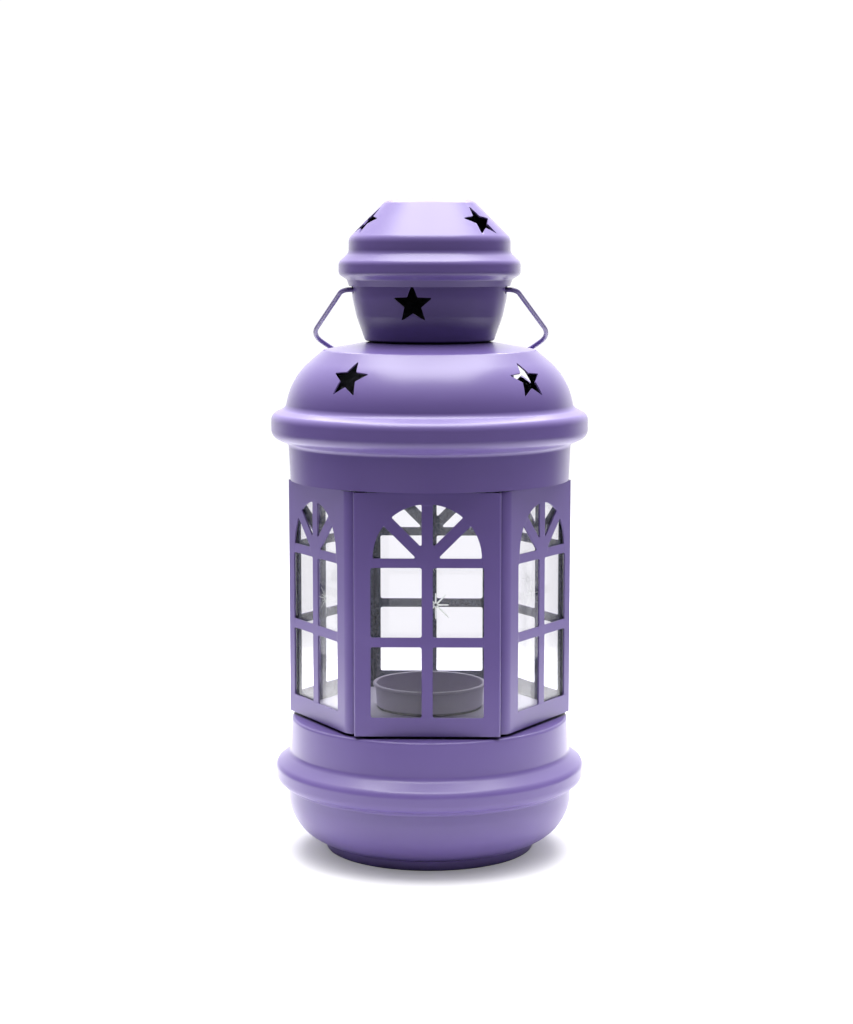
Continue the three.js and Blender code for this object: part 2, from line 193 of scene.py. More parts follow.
def new_piece(name, bm):
    """An object from a bmesh drawn in millimetres."""
    bmesh.ops.recalc_face_normals(bm, faces=bm.faces[:])
    bmesh.ops.scale(bm, vec=(MM, MM, MM), verts=bm.verts[:])
    mesh = bpy.data.meshes.new(name)
    bm.to_mesh(mesh)
    bm.free()
    piece = bpy.data.objects.new(name, mesh)
    bpy.context.scene.collection.objects.link(piece)
    return piece


def lathe(name, profile, sides):
    """A profile of (radius, height) turned about the vertical axis. sides gives each stretch's material
    slot, and the profile closes on itself unless it starts and ends on the axis."""
    bm = bmesh.new()
    angles = [2 * math.pi * i / TURN_STEPS for i in range(TURN_STEPS)]
    rings = []
    for point in profile:
        around = angles if point.x > 0 else angles[:1]
        rings.append([bm.verts.new((point.x * math.cos(a), point.x * math.sin(a), point.y)) for a in around])
    stretches = list(zip(rings, rings[1:], sides))
    if profile[0].x > 0:
        stretches.append((rings[-1], rings[0], sides[-1]))
    for low, high, side in stretches:
        for j in range(TURN_STEPS):
            below = [low[j % len(low)], low[(j + 1) % len(low)]]
            above = [high[(j + 1) % len(high)], high[j % len(high)]]
            corners = list(dict.fromkeys(below + above))
            if len(corners) > 2:
                bm.faces.new(corners).material_index = side
    return new_piece(name, bm)


def turned(node, corners):
    """A sheet-metal piece turned about the axis, standing where its CAD node stands. The corners follow
    its outer face from bottom to top, and the sheet lies inside it."""
    outer = rounded(corners)
    inner = offset(outer, SHEET)[::-1]
    base = size_of(node)[0].z
    lowest = min(point.y for point in outer + inner)
    lift = Vector((0, base - lowest))
    skins = [[point + lift for point in line] for line in (outer, inner)]
    outside = [OUTSIDE] * (len(outer) - 1)
    inside = [INSIDE] * (len(inner) - 1)
    if corners[-1][0] == 0:
        return lathe(node + "_shell", skins[1] + skins[0], inside + [CUT_EDGE] + outside)
    return lathe(node + "_shell", skins[0] + skins[1], outside + [CUT_EDGE] + inside + [CUT_EDGE])


def prism(outline, depth, matrix, side=CUT_EDGE):
    """A bmesh of a flat outline pushed from -depth to depth in a frame."""
    bm = bmesh.new()
    face = bm.faces.new([bm.verts.new((p.x, p.y, -depth)) for p in outline])
    pushed = bmesh.ops.extrude_face_region(bm, geom=[face])["geom"]
    moved = [v for v in pushed if isinstance(v, bmesh.types.BMVert)]
    bmesh.ops.translate(bm, vec=(0, 0, 2 * depth), verts=moved)
    bmesh.ops.transform(bm, matrix=matrix, verts=bm.verts[:])
    for each in bm.faces:
        each.material_index = side
    return bm


def merged(parts):
    """Several bmeshes as one."""
    whole = parts[0]
    for part in parts[1:]:
        mesh = bpy.data.meshes.new("part")
        part.to_mesh(mesh)
        part.free()
        whole.from_mesh(mesh)
        bpy.data.meshes.remove(mesh)
    return whole


def cut(piece, tool_meshes):
    """Cuts the tools out of a piece."""
    tools = new_piece("tools", merged(tool_meshes))
    modifier = piece.modifiers.new("cut", "BOOLEAN")
    modifier.operation = "DIFFERENCE"
    modifier.solver = "EXACT"
    modifier.object = tools
    graph = bpy.context.evaluated_depsgraph_get()
    result = bpy.data.meshes.new_from_object(piece.evaluated_get(graph))
    piece.modifiers.remove(modifier)
    old = piece.data
    piece.data = result
    bpy.data.meshes.remove(old)
    bpy.data.objects.remove(tools)


def filled(outline, holes):
    """A flat bmesh of an outline with holes, facing +z."""
    bm = bmesh.new()
    for loop in (outline, *holes):
        ring = [bm.verts.new((p.x, p.y, 0)) for p in loop]
        for a, b in zip(ring, ring[1:] + ring[:1]):
            bm.edges.new((a, b))
    bmesh.ops.triangle_fill(bm, use_beauty=True, use_dissolve=False, edges=bm.edges[:], normal=(0, 0, 1))
    return bm


def lengths(line):
    """How far along a line each of its points lies."""
    total = [0.0]
    for a, b in zip(line, line[1:]):
        total.append(total[-1] + (b - a).length)
    return total


def along(line, point):
    """How far along a line its nearest place to a point lies."""
    best = None
    for (a, b), start in zip(zip(line, line[1:]), lengths(line)):
        span = b - a
        share = min(max((point - a).dot(span) / span.length_squared, 0), 1)
        distance = (a + span * share - point).length
        if best is None or distance < best[0]:
            best = (distance, start + share * span.length)
    return best[1]


def bent_sheet(name, line, bottom, top, holes=(), corner=0.4):
    """Sheet metal that follows a plan line on its outer face. Holes are outlines of (distance along the
    line, height), cut while the sheet is flat."""
    marks = lengths(line)
    corners = [(0, bottom, corner), (marks[-1], bottom, corner), (marks[-1], top, corner), (0, top, corner)]
    bm = filled(looped(corners), holes)
    for mark in marks[1:-1]:
        everything = bm.verts[:] + bm.edges[:] + bm.faces[:]
        bmesh.ops.bisect_plane(bm, geom=everything, plane_co=(mark, 0, 0), plane_no=(1, 0, 0))
    for vert in bm.verts:
        stretch = max(i for i, mark in enumerate(marks[:-1]) if mark <= vert.co.x + 1e-4)
        share = (vert.co.x - marks[stretch]) / (marks[stretch + 1] - marks[stretch])
        place = line[stretch].lerp(line[stretch + 1], share)
        vert.co = (place.x, place.y, vert.co.y)
    piece = new_piece(name, bm)
    outward_first(piece, line)
    solid = piece.modifiers.new("sheet", "SOLIDIFY")
    solid.thickness = SHEET * MM
    solid.offset = -1
    solid.use_even_offset = True
    solid.material_offset = INSIDE
    solid.material_offset_rim = CUT_EDGE
    return piece


def outward_first(piece, line):
    """Turns a sheet's faces outwards, to the right of its plan line."""
    step = line[1] - line[0]
    outward = Vector((step.y, -step.x, 0))
    middle = (line[0] + line[1]).to_3d() / 2 * MM
    nearest = min(piece.data.polygons, key=lambda face: (face.center.xy - middle.xy).length)
    if nearest.normal.dot(outward) < 0:
        piece.data.flip_normals()


def finish(piece, node, body, materials, edge=EDGE, segments=2, smooth=True):
    """Rounds a piece's sharp edges, gives it its finishes and puts it on its body in place of its node."""
    for material in materials:
        piece.data.materials.append(material)
    for face in piece.data.polygons:
        face.use_smooth = smooth
    bevel = piece.modifiers.new("edges", "BEVEL")
    bevel.width = edge * MM
    bevel.segments = segments
    bevel.limit_method = "ANGLE"
    bevel.angle_limit = math.radians(35)
    if smooth:
        normals = piece.modifiers.new("normals", "WEIGHTED_NORMAL")
        normals.keep_sharp = True
    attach(piece, body)
    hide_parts(node)


# ---- Stars ----


def star(tip):
    """A five-pointed star with its points eased, as the punch leaves them."""
    corners = []
    for i in range(10):
        angle = math.pi / 2 + i * math.pi / 5
        radius = tip * STAR_WAIST if i % 2 else tip + STAR_TIP_SPARE
        corners.append((radius * math.cos(angle), radius * math.sin(angle), STAR_EASE))
    return looped(corners, math.radians(30))


def star_punches(places, base, tip, radius, tilt_deg):
    """Star vents in a turned piece, as cutting tools. Each place is an azimuth and a height above the
    piece's lowest edge."""
    tools = []
    for azimuth_deg, height in places:
        place = outside_frame(math.radians(azimuth_deg), radius, base + height, math.radians(tilt_deg))
        tools.append(prism(star(tip), PUNCH_DEPTH, place))
    return tools


# ---- Windows ----


def rectangle_light(left, right, bottom, top):
    corners = [(left, bottom), (right, bottom), (right, top), (left, top)]
    return looped([(x, y, LIGHT_CORNER) for x, y in corners], math.radians(15))


def fan_lights(side, arch):
    """One half of the fan: a light beside the jamb and one beside the mullion, split by a 45 degree bar."""
    spring = UPPER_BAR[1]
    slant = DIAGONAL_HALF * math.sqrt(2)
    hub = spring - 0.9  # where the slanting bars' centre lines meet
    ease = 0.45

    def on_arch(from_bar):
        """Where the arch meets a line beside the bar's centre line."""
        turn = math.pi / 4 + math.asin((from_bar - (spring - hub) / math.sqrt(2)) / arch)
        return arch * math.cos(turn), spring + arch * math.sin(turn), turn

    def arc(start, end, steps):
        turns = [start + (end - start) * i / steps for i in range(1, steps)]
        return [Vector((arch * math.cos(t), spring + arch * math.sin(t))) for t in turns]

    jamb_x, jamb_y, jamb_turn = on_arch(-DIAGONAL_HALF)
    crown_x, crown_y, crown_turn = on_arch(DIAGONAL_HALF)
    top_turn = math.acos(MULLION_HALF / arch)
    top_y = spring + arch * math.sin(top_turn)
    lower = [(spring - hub + slant, spring, ease), (arch, spring, ease), (jamb_x, jamb_y, ease)]
    upper = [
        (MULLION_HALF, hub + MULLION_HALF + slant, ease),
        (crown_x, crown_y, ease),
        (MULLION_HALF, top_y, ease),
    ]
    step = math.radians(20)
    jamb_light = looped_with_arc(lower, 1, arc(0, jamb_turn, 14), step)
    crown_light = looped_with_arc(upper, 1, arc(crown_turn, top_turn, 14), step)
    return [[Vector((side * p.x, p.y)) for p in light] for light in (jamb_light, crown_light)]


def looped_with_arc(corners, after, arc, step):
    """A closed outline whose side after one corner is an arc, with its corners eased against it."""
    ring = [*corners[: after + 1], *[(p.x, p.y) for p in arc], *corners[after + 1 :]]
    return rounded([ring[-1][:2], *ring, ring[0][:2]], step)[1:-1]


def window(half_width, centre):
    """The eight lights of one window, centred at a distance along the sheet."""
    lights = []
    for side in (-1, 1):
        left, right = sorted((side * MULLION_HALF, side * half_width))
        lights.append(rectangle_light(left, right, LIGHT_BOTTOM, LOWER_BAR[0]))
        lights.append(rectangle_light(left, right, LOWER_BAR[1], UPPER_BAR[0]))
        lights += fan_lights(side, half_width - 0.8)
    return [[point + Vector((centre, 0)) for point in light] for light in lights]


# ---- Finishes ----


class Nodes:
    """A short way to build a material's node tree."""

    def __init__(self, name):
        self.material = bpy.data.materials.new(name)
        self.material.use_nodes = True
        self.tree = self.material.node_tree
        self.shader = self.tree.nodes["Principled BSDF"]
        self.output = self.tree.nodes["Material Output"]
        self.place = self.add("TexCoord").outputs["Object"]

    def add(self, kind, links=(), **settings):
        node = self.tree.nodes.new("ShaderNode" + kind)
        for key, value in settings.items():
            setattr(node, key, value)
        for socket, value in dict(links).items():
            self.set(node.inputs[socket], value)
        return node

    def set(self, socket, value):
        if isinstance(value, bpy.types.NodeSocket):
            self.tree.links.new(value, socket)
        else:
            socket.default_value = value

    def noise(self, scale, detail=2.0, roughness=0.5):
        links = {"Vector": self.place, "Scale": scale, "Detail": detail, "Roughness": roughness}
        return self.add("TexNoise", links).outputs["Fac"]

    def cells(self, scale):
        links = {"Vector": self.place, "Scale": scale}
        return self.add("TexVoronoi", links).outputs["Color"]

    def spread(self, value, low, high, to_low, to_high):
        """A value carried from one range to another, and held inside it."""
        links = {"Value": value, "From Min": low, "From Max": high, "To Min": to_low, "To Max": to_high}
        return self.add("MapRange", links).outputs["Result"]

    def blend(self, factor, first, second):
        node = self.add("Mix", data_type="RGBA")
        self.set(node.inputs["Factor"], factor)
        self.set(node.inputs["A"], first)
        self.set(node.inputs["B"], second)
        return node.outputs["Result"]

    def bump(self, height, strength, distance, below=None):
        links = {"Height": height, "Strength": strength, "Distance": distance * MM}
        if below is not None:
            links["Normal"] = below
        return self.add("Bump", links).outputs["Normal"]

    def shade(self, **values):
        for name, value in values.items():
            self.set(self.shader.inputs[name.replace("_", " ")], value)
        return self.material


def rgb(red, green, blue):
    return (red, green, blue, 1.0)


PAINTED_CREASE_SHADE = rgb(0.012, 0.009, 0.02)  # painted shade: the colour that ambient occlusion darkens the paint to, deep in a fold, groove or seam


def powder_coat(name, deep, light, rough=(0.27, 0.37), peel=0.05, chips=None):
    """Satin powder coat: a slow random drift of tone, an orange-peel skin, and painted shade: colour
    darkened and reflection dimmed by ambient occlusion in creases, grooves and seams.
    """
    n = Nodes(name)
    drift = n.noise(22, 3)
    fleck = n.noise(2600, 2)
    shade = n.blend(n.spread(drift, 0.3, 0.7, 0, 1), deep, light)
    if chips:
        worn = n.spread(n.noise(310, 3), chips[0], chips[0] + 0.04, 0, 1)
        shade = n.blend(worn, shade, chips[1])
    # Painted shade: where ambient occlusion finds other surfaces within 3 mm, the colour is darkened towards
    # the crease shade
    painted_shade_ao = n.add("AmbientOcclusion", {"Distance": 3 * MM}, samples=8).outputs["AO"]
    shade = n.blend(n.spread(painted_shade_ao, 0.25, 0.62, 0.9, 0), shade, PAINTED_CREASE_SHADE)
    roughness = n.spread(drift, 0.3, 0.7, *rough)
    skin = n.bump(n.noise(750, 1.5), peel, 0.12)
    grain = n.bump(fleck, peel, 0.02, skin)
    # Painted shade: the specular level falls in occluded creases, so they reflect less light
    shade_dimmed_gloss = n.spread(painted_shade_ao, 0.25, 0.62, 0.1, 0.5)
    return n.shade(Base_Color=shade, Roughness=roughness, Normal=grain, Specular_IOR_Level=shade_dimmed_gloss)


def galvanised(name, dark, pale, spots):
    """Dull galvanised sheet: a fine dark speckle over blue-grey, with rough and smooth crystals."""
    n = Nodes(name)
    crystals = n.add("SeparateColor", {"Color": n.cells(1300)}).outputs["Red"]
    speckle = n.noise(1500, 3, 0.7)
    shade = n.blend(n.spread(crystals, 0.1, 0.9, 0, 1), dark, pale)
    shade = n.blend(n.spread(speckle, 0.42, 0.62, 0, 0.7), shade, spots)
    roughness = n.spread(crystals, 0, 1, 0.28, 0.45)
    skin = n.bump(speckle, 0.3, 0.05)
    return n.shade(Base_Color=shade, Roughness=roughness, Normal=skin, Metallic=0.6)


def clear_glass(name):
    """Window glass with a faint smear and dust low down. Lamps and soft light pass straight through it."""
    n = Nodes(name)
    smear = n.spread(n.noise(60, 4), 0.4, 0.8, 0.0, 0.012)
    up = n.add("SeparateXYZ", {"Vector": n.place}).outputs["Z"]
    dust_free = n.spread(up, PANEL_BOTTOM * MM + 0.006, PANEL_BOTTOM * MM + 0.022, 0.96, 0.994)
    n.shade(Base_Color=rgb(0.97, 0.965, 0.995), Roughness=smear, Transmission_Weight=dust_free, IOR=1.47)
    path = n.add("LightPath")
    passing = n.add("Math", operation="MAXIMUM")
    n.set(passing.inputs[0], path.outputs["Is Shadow Ray"])
    n.set(passing.inputs[1], path.outputs["Is Diffuse Ray"])
    through = n.add("BsdfTransparent", {"Color": rgb(0.97, 0.98, 0.98)})
    mix = n.add("MixShader")
    n.set(mix.inputs[0], passing.outputs[0])
    n.set(mix.inputs[1], n.shader.outputs[0])
    n.set(mix.inputs[2], through.outputs[0])
    n.set(n.output.inputs["Surface"], mix.outputs[0])
    return n.material


def cut_glass(name):
    """The frosted white of a line ground into the glass."""
    n = Nodes(name)
    grain = n.noise(4000, 2)
    shade = n.blend(grain, rgb(0.9, 0.93, 0.93), rgb(0.99, 1.0, 1.0))
    roughness = n.spread(grain, 0.3, 0.7, 0.35, 0.6)
    return n.shade(Base_Color=shade, Roughness=roughness, Transmission_Weight=0.3, IOR=1.2)


PAINT_DEEP = rgb(0.136, 0.094, 0.29)
PAINT_LIGHT = rgb(0.151, 0.105, 0.316)
paint = powder_coat("violet_powder_coat", PAINT_DEEP, PAINT_LIGHT)
# Cut edges are paler: partly the thinner powder coat at a cut and partly a painted highlight along the rims.
# The chips are real wear showing bare metal
EDGE_PALE_AND_HIGHLIGHT = rgb(0.2, 0.15, 0.36)
CHIPPED = (0.76, rgb(0.16, 0.16, 0.2))  # how rare the chips are, and the bare metal in them
edge_paint = powder_coat("violet_edge_coat", PAINT_LIGHT, EDGE_PALE_AND_HIGHLIGHT, (0.3, 0.42), 0.08, CHIPPED)
wire_paint = powder_coat(
    "violet_wire_coat", rgb(0.12, 0.085, 0.25), rgb(0.14, 0.1, 0.28), rough=(0.3, 0.4), peel=0.01
)
# The cup's and floor's paints are partly their own grey-violet and partly painted light: made paler to stand
# in for light that barely reaches inside the lantern
cup_paint = powder_coat(
    "grey_violet_paint", rgb(0.38, 0.33, 0.48), rgb(0.42, 0.37, 0.52), rough=(0.42, 0.56), peel=0.1
)
floor_paint = powder_coat(
    "pale_violet_paint", rgb(0.38, 0.35, 0.47), rgb(0.42, 0.39, 0.51), rough=(0.42, 0.56), peel=0.1
)
inner_metal = galvanised(
    "galvanised_sheet", rgb(0.028, 0.036, 0.06), rgb(0.115, 0.135, 0.195), rgb(0.01, 0.014, 0.024)
)
# Painted shade: a near-black copy of the galvanised sheet for the insides of the roof, chimney and cap, so
# the star vents look dark
shade_black_sheet = galvanised(
    "shaded_inside_sheet", rgb(0.01, 0.01, 0.014), rgb(0.024, 0.024, 0.032), rgb(0.006, 0.006, 0.008)
)
glass = clear_glass("window_glass")
ground_lines = cut_glass("ground_groove")

PAINTED = (paint, inner_metal, edge_paint)
# The roof pieces' inside slot takes the near-black painted-shade sheet
ROOFING = (paint, shade_black_sheet, edge_paint)
CUP = (cup_paint, cup_paint, cup_paint)
FLOOR = (floor_paint, floor_paint, floor_paint)
BARE = (inner_metal, inner_metal, inner_metal)

# ---- Base ----

foot = size_of("base_bowl")[0].z
RECESS = 1.4  # height of the bottom inside the foot ring
base_bowl = turned("base_bowl", [
    (0, foot + RECESS),
    (33.5, foot + RECESS),
    (34.9, foot),
    (37.5, foot, 0.5),
    (37.7, foot + 3.6, 0.8),
    (51.6, foot + 5, 16.5),
    (51.2, foot + 22.7),
    (51.1, foot + 28),
])
finish(base_bowl, "base_bowl", "base", PAINTED)

base_collar = turned("base_collar", [
    (52.1, 0),
    (52.3, 1, 0.6),
    (55.7, 2, 3.4),
    (55.7, 8.3, 3.0),
    (50.4, 12.1, 2.4),
    (49.7, 25.1, 1),
    (39.3, 25.1),
])
finish(base_collar, "base_collar", "base", PAINTED)


TONGUE_HALF = 5  # half the width of a tongue of the twist lock
TONGUE_REACH = 41.6
TONGUE_ROOT = 37
TONGUE_INSET = 0.02  # keeps a tongue's faces just inside the floor's sheet
LOCK_AZIMUTHS = (-150, -30, 90)  # every other corner of the hexagon


def tongue_prisms(bottom, top):
    """Three radial tongues of the twist lock, in metres like the finished mesh that they join."""
    half = TONGUE_HALF
    corners = (-half, -TONGUE_REACH), (half, -TONGUE_REACH), (half, -TONGUE_ROOT), (-half, -TONGUE_ROOT)
    outline = [Vector(corner) for corner in corners]
    lift = Matrix.Translation((0, 0, (bottom + top) / 2))
    tongues = []
    for azimuth_deg in LOCK_AZIMUTHS[::-1]:
        place = Matrix.Rotation(math.radians(azimuth_deg), 4, "Z") @ lift
        tongue = prism(outline, (top - bottom) / 2, place, OUTSIDE)
        bmesh.ops.scale(tongue, vec=(MM, MM, MM), verts=tongue.verts[:])
        tongues.append(tongue)
    return tongues


floor_low, floor_high = size_of("floor_plate")
floor_rise = floor_high.z - floor_low.z - SHEET
floor_plate = turned("floor_plate", [
    (FLOOR_RADIUS + 4, 0),
    (FLOOR_RADIUS, 0, 0.5),
    (FLOOR_RADIUS, floor_rise, 0.5),
    (0, floor_rise),
])
pan = bmesh.new()
pan.from_mesh(floor_plate.data)
tongues = tongue_prisms(floor_high.z - SHEET + TONGUE_INSET, floor_high.z - TONGUE_INSET)
merged([pan, *tongues]).to_mesh(floor_plate.data)
finish(floor_plate, "floor_plate", "base", FLOOR)

cup_low, cup_high = size_of("candle_cup")
cup_height = cup_high.z - cup_low.z
cup_profile = rounded([
    (0, 0),
    (19, 0, 1),
    (19.65, cup_height - 1.1, 0.3),
    (20.4, cup_height - 1.1, 0.3),
    (20.4, cup_height, 0.4),
    (19.1, cup_height, 0.4),
    (18.45, SHEET, 0.6),
    (0, SHEET),
])
cup_profile = [point + Vector((0, cup_low.z)) for point in cup_profile]
candle_cup = lathe("candle_cup_shell", cup_profile, [OUTSIDE] * (len(cup_profile) - 1))
finish(candle_cup, "candle_cup", "base", CUP)

# ---- Housing ----


def bottom_ring():
    """Hexagonal plate with a round hole for the floor pan, notched for the lock's tongues."""
    low, high = size_of("bottom_ring")
    steps = 40  # facets of the hole between two notches
    inside = APOTHEM - SHEET - GAP
    flange_edge = FLANGE_DISTANCE - GROOVE_DEPTH - SHEET - GAP
    bend_x = (inside - flange_edge * math.sin(math.pi / 6)) / math.cos(math.pi / 6)
    tongue_x = FLANGE_EDGE - GAP
    quarter = [(high.x, 0), (bend_x, flange_edge, RING_BEND), (tongue_x, flange_edge), (tongue_x, inside)]
    back = rounded([*quarter, *[(-x, *rest) for x, *rest in quarter[::-1]]])
    outline = back + [Vector((p.x, -p.y)) for p in back[-2:0:-1]]
    half_width = TONGUE_HALF + 0.7  # notches and hole clear the floor plate
    reach = TONGUE_REACH + 0.6
    radius = FLOOR_RADIUS + 0.4
    half_turn = math.asin(half_width / radius)
    hole = []
    for azimuth_deg in LOCK_AZIMUTHS:
        middle = math.radians(azimuth_deg - 90)
        spin = Matrix.Rotation(middle, 2)
        hole += [spin @ Vector((reach, side * half_width)) for side in (-1, 1)]
        start = middle + half_turn
        span = math.radians(120) - 2 * half_turn
        turns = [start + span * i / steps for i in range(steps + 1)]
        hole += [Vector((radius * math.cos(t), radius * math.sin(t))) for t in turns]
    bm = filled(outline, [hole])
    pushed = bmesh.ops.extrude_face_region(bm, geom=bm.faces[:])["geom"]
    moved = [v for v in pushed if isinstance(v, bmesh.types.BMVert)]
    bmesh.ops.translate(bm, vec=(0, 0, high.z - low.z), verts=moved)
    bmesh.ops.translate(bm, vec=(0, 0, low.z), verts=bm.verts[:])
    return new_piece("bottom_ring_plate", bm)


finish(bottom_ring(), "bottom_ring", "housing", FLOOR)


def side_shell(node, turn):
    """One bent sheet makes the two panels on a side, with a flange at each end behind the flat panels."""
    groove = FLANGE_DISTANCE - GROOVE_DEPTH
    dip_start, dip_end = [FLANGE_EDGE + step for step in GROOVE_STEPS]
    bend_x = (APOTHEM - groove * math.sin(math.pi / 6)) / math.cos(math.pi / 6)
    line = rounded([
        (FLANGE_EDGE, -FLANGE_DISTANCE),
        (dip_start, -FLANGE_DISTANCE, 0.3),
        (dip_end, -groove, 0.3),
        (bend_x, -groove, SOFT_BEND),
        (HEX_CORNER, 0, SHARP_BEND),
        (bend_x, groove, SOFT_BEND),
        (dip_end, groove, 0.3),
        (dip_start, FLANGE_DISTANCE, 0.3),
        (FLANGE_EDGE, FLANGE_DISTANCE),
    ])
    holes = []
    for azimuth_deg, shift in ((60, SIDE_LIGHT_SHIFT), (120, -SIDE_LIGHT_SHIFT)):
        azimuth = math.radians(azimuth_deg)
        centre = outside_frame(azimuth, APOTHEM) @ Vector((shift, 0, 0))
        holes += window(SIDE_LIGHT_HALF, along(line, centre.xy))
    line = [Matrix.Rotation(turn, 2) @ point for point in line]
    return bent_sheet(node + "_sheet", line, PANEL_BOTTOM, PANEL_TOP, holes)


def flat_panel(node, turn):
    """A flat panel whose side edges turn back to the side shells' flanges."""
    returned = FLANGE_DISTANCE - GROOVE_DEPTH + GAP
    line = rounded([
        (-FRONT_HALF, -returned),
        (-FRONT_HALF, -APOTHEM, 0.8),
        (FRONT_HALF, -APOTHEM, 0.8),
        (FRONT_HALF, -returned),
    ])
    holes = window(FRONT_LIGHT_HALF, along(line, Vector((0, -APOTHEM))))
    line = [Matrix.Rotation(turn, 2) @ point for point in line]
    return bent_sheet(node + "_sheet", line, PANEL_BOTTOM, PANEL_TOP, holes)


for node, turn in (("side_shell_right", 0), ("side_shell_left", math.pi)):
    finish(side_shell(node, turn), node, "housing", PAINTED)
for node, turn in (("front_panel", 0), ("back_panel", math.pi)):
    finish(flat_panel(node, turn), node, "housing", PAINTED)


def burst_lines(matrix, rays, width, depth, reaches):
    """A starburst of blunt ground lines on the glass, with the given reaches in turn."""
    lines = []
    for i in range(rays):
        length = reaches[i % len(reaches)]
        bm = bmesh.new()
        ends = [bm.verts.new((x, 0, 0)) for x in (0.1, length)]
        rings = []
        for x, share in ((0.8, 1), (length - 0.3, 0.7)):
            sides = ((width * share, 0), (0, depth), (-width * share, 0), (0, -depth))
            rings.append([bm.verts.new((x, y, z)) for y, z in sides])
        near, far = rings
        for k in range(4):
            after = (k + 1) % 4
            bm.faces.new((ends[0], near[k], near[after]))
            bm.faces.new((near[k], far[k], far[after], near[after]))
            bm.faces.new((far[k], ends[1], far[after]))
        bmesh.ops.recalc_face_normals(bm, faces=bm.faces[:])
        for face in bm.faces:
            face.material_index = FROSTED
        spin = Matrix.Rotation(2 * math.pi * i / rays, 4, "Z")
        bmesh.ops.transform(bm, matrix=matrix @ spin, verts=bm.verts[:])
        lines.append(bm)
    return lines


BOLD_BURST = (8, 0.46, 0.06, (4.6, 4.9, 4.2, 4.9, 4.6, 4.9, 5.1, 6.4))  # rays, half width, depth, reaches
FINE_BURST = (16, 0.12, 0.04, (5.6, 3.4))
PANES = (
    ("pane_front", 0, 0, 2.9, 95, BOLD_BURST),
    ("pane_front_right", 60, SIDE_PANE_SHIFT, -2.5, 96, FINE_BURST),
    ("pane_back_right", 120, -SIDE_PANE_SHIFT, 2.4, 94, FINE_BURST),
    ("pane_back", 180, 0, 0, 96.5, FINE_BURST),
    ("pane_back_left", -120, SIDE_PANE_SHIFT, -2.6, 95, FINE_BURST),
    ("pane_front_left", -60, -SIDE_PANE_SHIFT, 2.9, 94, FINE_BURST),
)  # node, azimuth, sideways place of the glass, the starburst's place across and up the panel, and its kind

for node, azimuth_deg, shift, burst_x, burst_z, kind in PANES:
    azimuth = math.radians(azimuth_deg)
    low, high = size_of("pane_front")
    half = high.x
    left = shift - half + (SIDE_PANE_TRIM if shift > 0 else 0)
    right = shift + half - (SIDE_PANE_TRIM if shift < 0 else 0)
    corners = [(left, low.z), (right, low.z), (right, high.z), (left, high.z)]
    outline = looped([(x, y, 0.5) for x, y in corners], math.radians(30))
    middle = outside_frame(azimuth, PANE_OUTER - PANE_THICKNESS / 2)
    plate = prism(outline, PANE_THICKNESS / 2, middle, CLEAR)
    burst = outside_frame(azimuth, PANE_OUTER) @ Matrix.Translation((burst_x, burst_z, 0))
    pane = new_piece(node + "_glass", merged([plate, *burst_lines(burst, *kind)]))
    finish(pane, node, "housing", (glass, ground_lines), edge=0.12, segments=1, smooth=False)


def glazing_strip(node, azimuth_deg):
    """An angle strip up an inside corner, behind the edges of the two panes that meet there."""
    leg = 2.6
    behind_pane = PANE_OUTER - PANE_THICKNESS - GAP
    behind_flange = FLANGE_DISTANCE - GROOVE_DEPTH - SHEET - GAP
    faces = []
    for turn in (-30, 30):
        azimuth = math.radians(azimuth_deg + turn)
        flat_side = abs(math.sin(azimuth)) < 0.1 and abs(azimuth_deg) != 90
        place = outside_frame(azimuth, behind_flange if flat_side else behind_pane)
        faces.append((place.translation.xy, place.col[0].xy))
    (first, first_along), (second, second_along) = faces
    share = turn_of(second - first, second_along) / turn_of(first_along, second_along)
    corner = first + first_along * share
    ends = corner - first_along * leg, corner + second_along * leg
    low, high = size_of(node)
    line = rounded([tuple(ends[0]), (corner.x, corner.y, 0.9), tuple(ends[1])])
    return bent_sheet(node + "_sheet", line, low.z, high.z, corner=0.8)


STRIPS = {
    "front_left": -30,
    "front_right": 30,
    "right": 90,
    "back_right": 150,
    "back_left": -150,
    "left": -90,
}
for place, azimuth_deg in STRIPS.items():
    node = "glazing_strip_" + place
    finish(glazing_strip(node, azimuth_deg), node, "housing", BARE)

# ---- Roof ----

top_ring = turned("top_ring", [
    (36, 0),
    (48.5, 0, 0.8),
    (48.5, 5),
])
finish(top_ring, "top_ring", "housing", BARE)

roof_low = size_of("roof_dome")[0].z
NECK = 20.4  # inside radius of the short neck between the roof and the chimney
roof = turned("roof_dome", [
    (49.8, 0),
    (50.4, 13, 2),
    (56.5, 15.6, 3.8),
    (56.5, 23.1, 3.2),
    (51.3, 25.7, 2.8),
    (49.4, 36.2, 24.5),
    (37.7, 46.1, 2),
    (NECK + SHEET + GAP, 49),
])
roof_stars = [(-35.4, 37.8), (47, 36.9), (136, 37.8), (-118, 37.8)]
cut(roof, star_punches(roof_stars, roof_low, 7.4, 46.3, 35))
finish(roof, "roof_dome", "housing", ROOFING)

chimney_low = size_of("chimney")[0].z
chimney = turned("chimney", [
    (NECK + 3, 0.6),
    (NECK + SHEET, 1.1, 0.4),
    (NECK + SHEET, 2.3, 0.4),
    (22.9, 2.3, 1),
    (26, 11, 10),
    (27.5, 18, 15),
    (27.9, 24),
])
across = Matrix.Rotation(math.pi / 2, 4, "Y")
bail_hole = prism(circle(BAIL_HOLE_RADIUS, 32), 40, Matrix.Translation((0, pivot.y, pivot.z)) @ across)
chimney_stars = [(-11.6, 15.6), (108.4, 15.6), (-131.6, 15.6)]
chimney_vents = star_punches(chimney_stars, chimney_low, 6.9, 26.8, -10)
cut(chimney, [*chimney_vents, bail_hole])
finish(chimney, "chimney", "housing", ROOFING)

